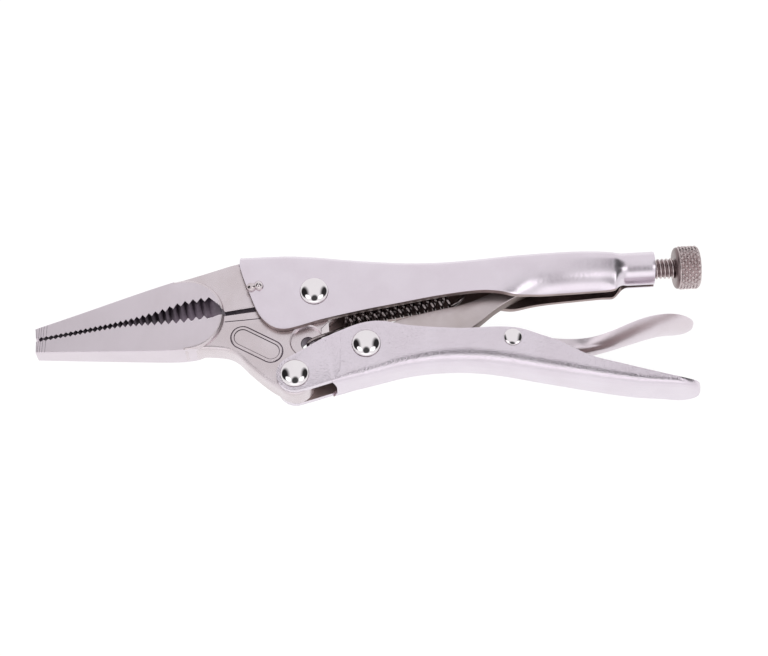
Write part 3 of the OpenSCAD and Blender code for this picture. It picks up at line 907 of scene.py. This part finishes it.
def moving_jaw():
    outline = [(-116.35, -6.4)] + teeth(MOVING_TIPS, -1)
    outline += [(-55.2, 2.4), (-54, 2.5), (-43.3, 4.2), (-36, 5.2), (-30, 6), (-19, 3.4), (-18.6, 0.4),
                (-20.9, -2), (-20.9, -9.5), (-22.6, -14), (-23.6, -18), (-29.4, -19.4)]
    outline += list(reversed(trace(MOVING_BASE, -116.1, -31.3, 70)))
    thing = jaw_blank("moving_jaw_forging", outline)
    grind_marks(thing)
    plain = lambda x: JAW_HALF
    for name, centre, radius, rim in (("lobe", JAW_PIVOT, LOBE_R, 0.3),
                                      ("knuckle", HANDLE_PIVOT, KNUCKLE_R, 1.2)):
        disc = rounded_slab(name, ring_of(centre, radius), plain, lambda x, y: rim, kind=ARM)
        combine(thing, disc, "UNION")
    badge(thing)
    sink(thing, EAR_RECESS, EAR_RECESS_R, EAR_HALF, JAW_HALF, 0.4, ARM)
    # The spring eye's wall gets a painted shade.
    pierce(thing, SPRING_EYE, SPRING_EYE_R, EAR_HALF, 0.2, INSIDE)
    drill(thing, JAW_PIVOT, RIVET_R + FIT)
    drill(thing, HANDLE_PIVOT, RIVET_R + FIT)
    dress(thing, "jaw", [jaw_metal, shade_and_mark_metal, arm_metal], ["moving_jaw"], angle=10)


# ---- Rivets, pin and weld ----
RIVET_FACE = 6.97
HEAD_R = 4.8
HEAD_H = 1.9
PIN_FACE = 7.72
PIN_HEAD_R = 3.0
PIN_HEAD_H = 0.7
UNDER_HEAD = 0.12  # chamfer where a head meets the sheet


def domed_rivet(name, node, body, centre, shank, face, head=HEAD_R, high=HEAD_H, rim=0.28):
    """Shank and two domed heads; the low wall under each dome gets a painted shade, a dark ring."""
    half = [(0.0, face + high)]
    for i in range(1, 25):
        a = math.pi / 2 * i / 24
        half.append((head * math.sin(a), face + rim + (high - rim) * math.cos(a)))
    half += [(head, face + UNDER_HEAD), (head - UNDER_HEAD, face), (shank, face)]
    profile = half + [(r, -z) for r, z in reversed(half)]
    thing = turned(name, profile, (*centre, 0), segments=128)
    for side in thing.data.polygons:
        height = abs(side.center.z / MM - ORIGIN.z)
        if height < face + rim - 0.01:
            side.material_index = INSIDE
    dress(thing, body, [rivet_metal, edge_shade_metal], [node], angle=50)


def rivets():
    domed_rivet("main_rivet", "jaw_pivot_rivet", "frame", JAW_PIVOT, RIVET_R, FRONT_HALF + 0.02)
    domed_rivet("lower_rivet", "handle_pivot_rivet", "handle", HANDLE_PIVOT, RIVET_R, RIVET_FACE)
    domed_rivet("link_rivet", "toggle_rivet", "handle", LINK_PIVOT, RIVET_R, RIVET_FACE)
    domed_rivet("lever_rivet", "lever_pin", "handle", LEVER_PIVOT, PIN_R, PIN_FACE,
                PIN_HEAD_R, PIN_HEAD_H, rim=0.16)


WELD_AT = (-44.7, 11.9)
WELD_TILT = math.radians(14)
WELD_FLAT = 0.85
WELD_BLOBS = [(0.1, 1.8, 1.6), (2.6, 1.6, 1.8)]  # place along the weld, half length, radius


def blob_radius(s):
    """The weld's radius at s, which is the larger blob's there."""
    return max(radius * math.sqrt(max(0.0, 1 - ((s - at) / half) ** 2))
               for at, half, radius in WELD_BLOBS)


def weld():
    """Two blobs run together on each side, where the tang meets the handle's front edge."""
    points, faces = [], []
    rings, sides = 60, 32
    for side in (-1, 1):
        first = len(points)
        for i in range(rings + 1):
            s = -1.7 + 5.9 * i / rings
            for k in range(sides):
                a = math.tau * k / sides
                lump = noise.noise(Vector((s * 0.9, math.cos(a) * 1.5, math.sin(a) * 1.5 + side * 5)))
                radius = blob_radius(s) * (1 + 0.1 * lump)
                across = radius * math.cos(a)
                points.append((WELD_AT[0] + s * math.cos(WELD_TILT) - across * math.sin(WELD_TILT),
                               WELD_AT[1] + s * math.sin(WELD_TILT) + across * math.cos(WELD_TILT),
                               side * FRONT_HALF + WELD_FLAT * radius * math.sin(a)))
        for i in range(rings):
            for k in range(sides):
                a, b = first + i * sides + k, first + i * sides + (k + 1) % sides
                faces.append((a, b, b + sides, a + sides))
    thing = mesh_object("weld_beads", points, faces)
    dress(thing, "frame", [weld_metal], ["jaw_weld"], angle=60)


# ---- Toggle link ----
LINK_TOP = [(-5.9, -3.4), (5.4, 2.1), (15.5, 5), (28, 8.2), (40, 13.6), (50, 19.2), (57, 22.3)]
LINK_BASE = [(-5.9, -13.8), (8, -10.5), (20, -6.2), (27, -2.6), (32.3, 1.3), (38, 6.2),
             (45.3, 10.8), (57, 16.1)]
LINK_HALF = 2.5
LINK_FRONT_R = 5.3
LINK_REAR_R = 3.2


def toggle_link():
    outline = trace(LINK_BASE, -5.9, 57, 60) + list(reversed(trace(LINK_TOP, -5.9, 57, 60)))
    half = lambda x: LINK_HALF
    rim = lambda x, y: 0.25
    # The link's side walls get a painted shade.
    sheared = lambda x, y: INSIDE
    thing = rounded_slab("link_bar", outline, half, rim, sheared)
    combine(thing, rounded_slab("front", ring_of(LINK_PIVOT, LINK_FRONT_R), half, rim, sheared), "UNION")
    combine(thing, rounded_slab("rear", ring_of(LINK_END, LINK_REAR_R), half, rim, sheared), "UNION")
    drill(thing, LINK_PIVOT, RIVET_R + FIT)
    dress(thing, "link", [link_metal, edge_shade_metal], ["toggle_link"], angle=25)


# ---- Adjusting screw ----
CORE_R = 2.4
CORE_START = -28.0
THREAD_START = -26.0
KNOB_FACE = 6.5
PITCH = 1.4
THREAD_DEEP = 0.65
KNOB_R = 7.4
KNOB_L = 6.8
KNOB_CONE = 1.0
KNOB_END = KNOB_FACE + KNOB_CONE + KNOB_L + 0.6
KNOB_FACE_R = 5.8
KNOB_EASE = 0.3  # the plain parts stand this far below the knurl's crests
KNOB_ROUND = 0.9
PLAIN_BAND = 0.25


def screw_core():
    angles = [math.pi / 2 * i / 16 for i in range(17)]
    profile = [(CORE_R * math.sin(a), CORE_START - CORE_R * math.cos(a)) for a in angles]
    profile += [(CORE_R, KNOB_FACE - 0.5), (0, KNOB_FACE - 0.5)]
    profile[0] = (0.0, CORE_START - CORE_R)
    thing = turned("screw_core_bar", profile, along_screw(0), SCREW_AXIS, 48)
    dress(thing, "screw_slide", [screw_metal], ["screw_core"])


def wrapped(name, rows, columns, radius_at, start, end, bore, dark):
    """A sleeve round the screw's axis whose outside radius varies round it and along it.

    Faces get the second colour, a painted shade, where dark(radius, distance) says so."""
    spin = Vector((0, 0, 1)).rotation_difference(Vector(SCREW_AXIS)).to_matrix()
    base = Vector(along_screw(0))
    points, faces, kinds = [], [], []
    lines = [(start + (end - start) * i / rows, radius_at) for i in range(rows + 1)]
    lines = [(start, None)] + lines + [(end, None)]
    for s, radius in lines:
        for k in range(columns):
            a = math.tau * k / columns
            r = radius(a, s) if radius else bore
            points.append(base + spin @ Vector((r * math.cos(a), r * math.sin(a), s)))
            kinds.append(INSIDE if dark(r, s) else OUTSIDE)
    count = len(lines)
    for i in range(count):
        j = (i + 1) % count
        for k in range(columns):
            m = (k + 1) % columns
            faces.append((i * columns + k, i * columns + m, j * columns + m, j * columns + k))
    return mesh_object(name, points, faces, kinds)


def thread_radius(a, s):
    """Rounded crests and roots along a helix, fading out at the front end."""
    turn = (s / PITCH - a / math.tau) % 1
    ridge = min(1, max(0, 1.6 * (1 - abs(2 * turn - 1)) - 0.3))
    grown = ease(s - THREAD_START)
    return THREAD_R - THREAD_DEEP * (1 - ease(ridge)) * grown - THREAD_DEEP * (1 - grown)


def screw_thread():
    # The thread roots get a painted shade.
    thing = wrapped("screw_thread_sleeve", 260, 48, thread_radius, THREAD_START,
                    KNOB_FACE - 0.02, CORE_R + FIT, lambda r, s: r < THREAD_R - 0.35)
    dress(thing, "screw_turn", [screw_metal, screw_shade_metal], ["screw_thread"], angle=60)


KNURLS = 22
KNURL_SLANT = 2.1
KNURL_DEEP = 0.75


def knob_radius(a, s):
    """The knob's outside: coned inner face, plain band, knurled band, rounded outer edge."""
    band = KNOB_FACE + KNOB_CONE
    if s < band:
        reach = math.sqrt(1 - (1 - (s - KNOB_FACE) / KNOB_CONE) ** 2)
        return KNOB_FACE_R + (KNOB_R - KNOB_EASE - KNOB_FACE_R) * reach
    past = min(1, max(0, (s - KNOB_END + KNOB_ROUND) / KNOB_ROUND))
    rounded = KNOB_ROUND * (1 - math.sqrt(1 - past ** 2))
    edge = ease((s - band - PLAIN_BAND) / 0.4) * ease((KNOB_END - s) / KNOB_ROUND)
    u = (a * KNURLS / math.tau + (s - band) / KNURL_SLANT) % 1
    v = (a * KNURLS / math.tau - (s - band) / KNURL_SLANT) % 1
    diamond = min(1, 1.5 * min(1 - abs(2 * u - 1), 1 - abs(2 * v - 1)))
    return KNOB_R - KNOB_EASE + KNOB_EASE * edge - KNURL_DEEP * (1 - diamond) * edge - rounded


def screw_knob():
    # The knob's coned face gets a painted dark reflection.
    thing = wrapped("screw_knob_cap", 104, KNURLS * 14, knob_radius, KNOB_FACE, KNOB_END, 0.001,
                    lambda r, s: s < KNOB_FACE + KNOB_CONE)
    dress(thing, "screw_turn", [screw_metal, screw_shade_metal], ["screw_knob"], angle=50)


# ---- Return spring ----
COIL_START = (-13.5, 2.2)
COIL_TILT = math.radians(12.2)
COIL_PITCH = 2.8
COIL_TURNS = 13
COIL_R = 2.0
WIRE_R = 0.6


def on_coil(turn):
    """The wire's middle after a number of turns from the coil's start."""
    s, a = turn * COIL_PITCH, math.tau * turn + math.pi
    return (COIL_START[0] + s * math.cos(COIL_TILT) - COIL_R * math.cos(a) * math.sin(COIL_TILT),
            COIL_START[1] + s * math.sin(COIL_TILT) + COIL_R * math.cos(a) * math.cos(COIL_TILT),
            COIL_R * math.sin(a))


def rounded_line(points, per):
    """The smooth line through points of space, with per steps from each to the next."""
    line = []
    for i in range(len(points) - 1):
        p = [Vector(points[min(max(j, 0), len(points) - 1)]) for j in (i - 1, i, i + 1, i + 2)]
        for k in range(per):
            t = k / per
            line.append(0.5 * (2 * p[1] + (p[2] - p[0]) * t
                               + (2 * p[0] - 5 * p[1] + 4 * p[2] - p[3]) * t**2
                               + (3 * p[1] - p[0] - 3 * p[2] + p[3]) * t**3))
    return line + [Vector(points[-1])]


def tube(name, line, radius, sides):
    """Round wire along a line, turning with it as little as it can."""
    points, faces = [], []
    across = None
    for i, spot in enumerate(line):
        along = (line[min(i + 1, len(line) - 1)] - line[max(i - 1, 0)]).normalized()
        across = along.orthogonal() if across is None else across - along * across.dot(along)
        across.normalize()
        other = along.cross(across)
        for k in range(sides):
            a = math.tau * k / sides
            points.append(spot + radius * (math.cos(a) * across + math.sin(a) * other))
    for i in range(len(line) - 1):
        for k in range(sides):
            a, b = i * sides + k, i * sides + (k + 1) % sides
            faces.append((a, b, b + sides, a + sides))
    for first in (0, (len(line) - 1) * sides):
        faces.append(tuple(range(first, first + sides)))
    return mesh_object(name, points, faces)


def return_spring():
    hook = [(*SPRING_EYE, -3.8), (*SPRING_EYE, 3.2), (-24.6, -6.6, 3.9), (-23.4, -5.8, 3.9),
            (-20, -4.3, 3.7), (-17, -2.6, 2.4), (-15.2, -1.2, 1.2)]
    leg = [(25.5, 9.6, 0.9), (27.5, 12.4, 0.6), (31, 17.4, 0), (32.6, 20, 0),
           (SPRING_SLOT, 22, 0), (SPRING_SLOT, 24.4, 0)]
    coil = [on_coil(i / 8) for i in range(8 * COIL_TURNS + 1)]
    line = rounded_line(hook + coil + leg, 4)
    thing = tube("spring_wire", line, WIRE_R, 12)
    dress(thing, None, [wire_metal], ["return_spring"], angle=60)
    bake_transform(thing)


upper_handle()
lower_handle()
release_lever()
fixed_jaw()
moving_jaw()
rivets()
weld()
toggle_link()
screw_core()
screw_thread()
screw_knob()
return_spring()
